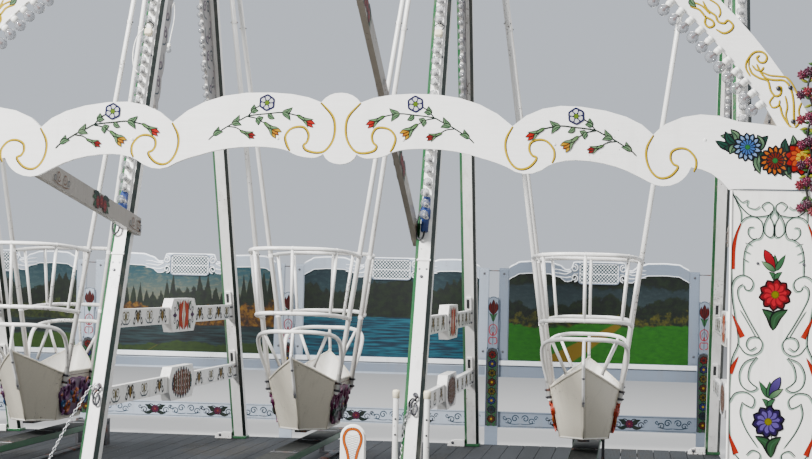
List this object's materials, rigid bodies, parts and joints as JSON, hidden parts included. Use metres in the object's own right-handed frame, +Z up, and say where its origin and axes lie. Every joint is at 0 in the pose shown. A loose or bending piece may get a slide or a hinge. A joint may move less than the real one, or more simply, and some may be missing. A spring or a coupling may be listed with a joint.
{
  "type": "swingboat ride",
  "caption": "Fairground swingboat ride: caged boats swing from an axle on A-frames over a deck, with a painted arched front, brakes worked by levers and a painted fence.",
  "frame": {"origin": "on the ground straight below the ridge axle, in the plane of the middle A-frame", "axes": "+X along the row of boats to the right as seen from the front, +Y from the public front to the fence, +Z up"},
  "size_m": [8.794, 9.794, 5.831],
  "materials": {
    "white_paint": "satin",
    "front_paint": "gloss paint",
    "hull_paint": "satin",
    "deck_paint": "matt paint",
    "steel": "brushed",
    "dark_timber": "tarred",
    "fence_paint": "gloss paint",
    "lamp_glass": "clear",
    "lamp_socket": "gloss",
    "carved_red": "gloss paint",
    "carved_purple": "gloss paint",
    "green_trim": "gloss",
    "gold_line": "gloss"
  },
  "bodies": {
    "root": {"ground_beam_1": "dark_timber", "a_frame_1": "white_paint", "front_brace_1": "white_paint", "ground_beam_2": "dark_timber", "a_frame_2": "white_paint", "front_brace_2": "white_paint", "ground_beam_3": "dark_timber", "a_frame_3": "white_paint", "front_brace_3": "white_paint", "ground_beam_4": "dark_timber", "a_frame_4": "white_paint", "front_brace_4": "white_paint", "ground_beam_5": "dark_timber", "a_frame_5": "white_paint", "front_brace_5": "white_paint", "deck_left": "deck_paint", "deck_right": "deck_paint", "ridge_axle": "steel", "fence_1": "fence_paint", "fence_2": "fence_paint", "fence_3": "fence_paint", "fence_4": "fence_paint", "pillar_left": "front_paint", "pillar_middle": "front_paint", "pillar_right": "front_paint", "fascia_left": "front_paint", "lamp_arch_left": "front_paint", "entrance_post_left": "front_paint", "fascia_right": "front_paint", "lamp_arch_right": "front_paint", "entrance_post_right": "front_paint", "brake_frame_1": "steel", "brake_frame_2": "steel", "brake_frame_3": "steel", "brake_frame_4": "steel"},
    "boat_1": {"boat_hull_1": "hull_paint", "boat_hanger_1": "white_paint"},
    "plank_1": {"brake_plank_1": "dark_timber"},
    "lever_1": {"brake_lever_1": "white_paint"},
    "boat_2": {"boat_hull_2": "hull_paint", "boat_hanger_2": "white_paint"},
    "plank_2": {"brake_plank_2": "dark_timber"},
    "lever_2": {"brake_lever_2": "white_paint"},
    "boat_3": {"boat_hull_3": "hull_paint", "boat_hanger_3": "white_paint"},
    "plank_3": {"brake_plank_3": "dark_timber"},
    "lever_3": {"brake_lever_3": "white_paint"},
    "boat_4": {"boat_hull_4": "hull_paint", "boat_hanger_4": "white_paint"},
    "plank_4": {"brake_plank_4": "dark_timber"},
    "lever_4": {"brake_lever_4": "white_paint"}
  },
  "joints": [
    {"name": "boat_swing_1", "type": "hinge", "parent": "root", "child": "boat_1", "pos_m": [-3.15, 0, 5.736], "axis": [1, 0, 0], "range_deg": [-60, 60]},
    {"name": "boat_swing_2", "type": "hinge", "parent": "root", "child": "boat_2", "pos_m": [-1.05, 0, 5.736], "axis": [1, 0, 0], "range_deg": [-60, 60]},
    {"name": "boat_swing_3", "type": "hinge", "parent": "root", "child": "boat_3", "pos_m": [1.05, 0, 5.736], "axis": [1, 0, 0], "range_deg": [-60, 60]},
    {"name": "boat_swing_4", "type": "hinge", "parent": "root", "child": "boat_4", "pos_m": [3.15, 0, 5.736], "axis": [1, 0, 0], "range_deg": [-60, 60]},
    {"name": "lever_pull_1", "type": "hinge", "parent": "root", "child": "lever_1", "pos_m": [-3.15, -2.2, 0.383], "axis": [1, 0, 0], "range_deg": [0, 35]},
    {"name": "plank_lift_1", "type": "hinge", "parent": "root", "child": "plank_1", "pos_m": [-3.15, 1.25, 0.435], "axis": [-1, 0, 0], "range_deg": [0, 2.7]},
    {"name": "lever_pull_2", "type": "hinge", "parent": "root", "child": "lever_2", "pos_m": [-1.05, -2.2, 0.383], "axis": [1, 0, 0], "range_deg": [0, 35]},
    {"name": "plank_lift_2", "type": "hinge", "parent": "root", "child": "plank_2", "pos_m": [-1.05, 1.25, 0.435], "axis": [-1, 0, 0], "range_deg": [0, 2.7]},
    {"name": "lever_pull_3", "type": "hinge", "parent": "root", "child": "lever_3", "pos_m": [1.05, -2.2, 0.383], "axis": [1, 0, 0], "range_deg": [0, 35]},
    {"name": "plank_lift_3", "type": "hinge", "parent": "root", "child": "plank_3", "pos_m": [1.05, 1.25, 0.435], "axis": [-1, 0, 0], "range_deg": [0, 2.7]},
    {"name": "lever_pull_4", "type": "hinge", "parent": "root", "child": "lever_4", "pos_m": [3.15, -2.2, 0.383], "axis": [1, 0, 0], "range_deg": [0, 35]},
    {"name": "plank_lift_4", "type": "hinge", "parent": "root", "child": "plank_4", "pos_m": [3.15, 1.25, 0.435], "axis": [-1, 0, 0], "range_deg": [0, 2.7]}
  ],
  "couplings": [
    {"joint": "plank_lift_1", "follows": "lever_pull_1", "ratio": 0.0743},
    {"joint": "plank_lift_2", "follows": "lever_pull_2", "ratio": 0.0743},
    {"joint": "plank_lift_3", "follows": "lever_pull_3", "ratio": 0.0743},
    {"joint": "plank_lift_4", "follows": "lever_pull_4", "ratio": 0.0743}
  ]
}
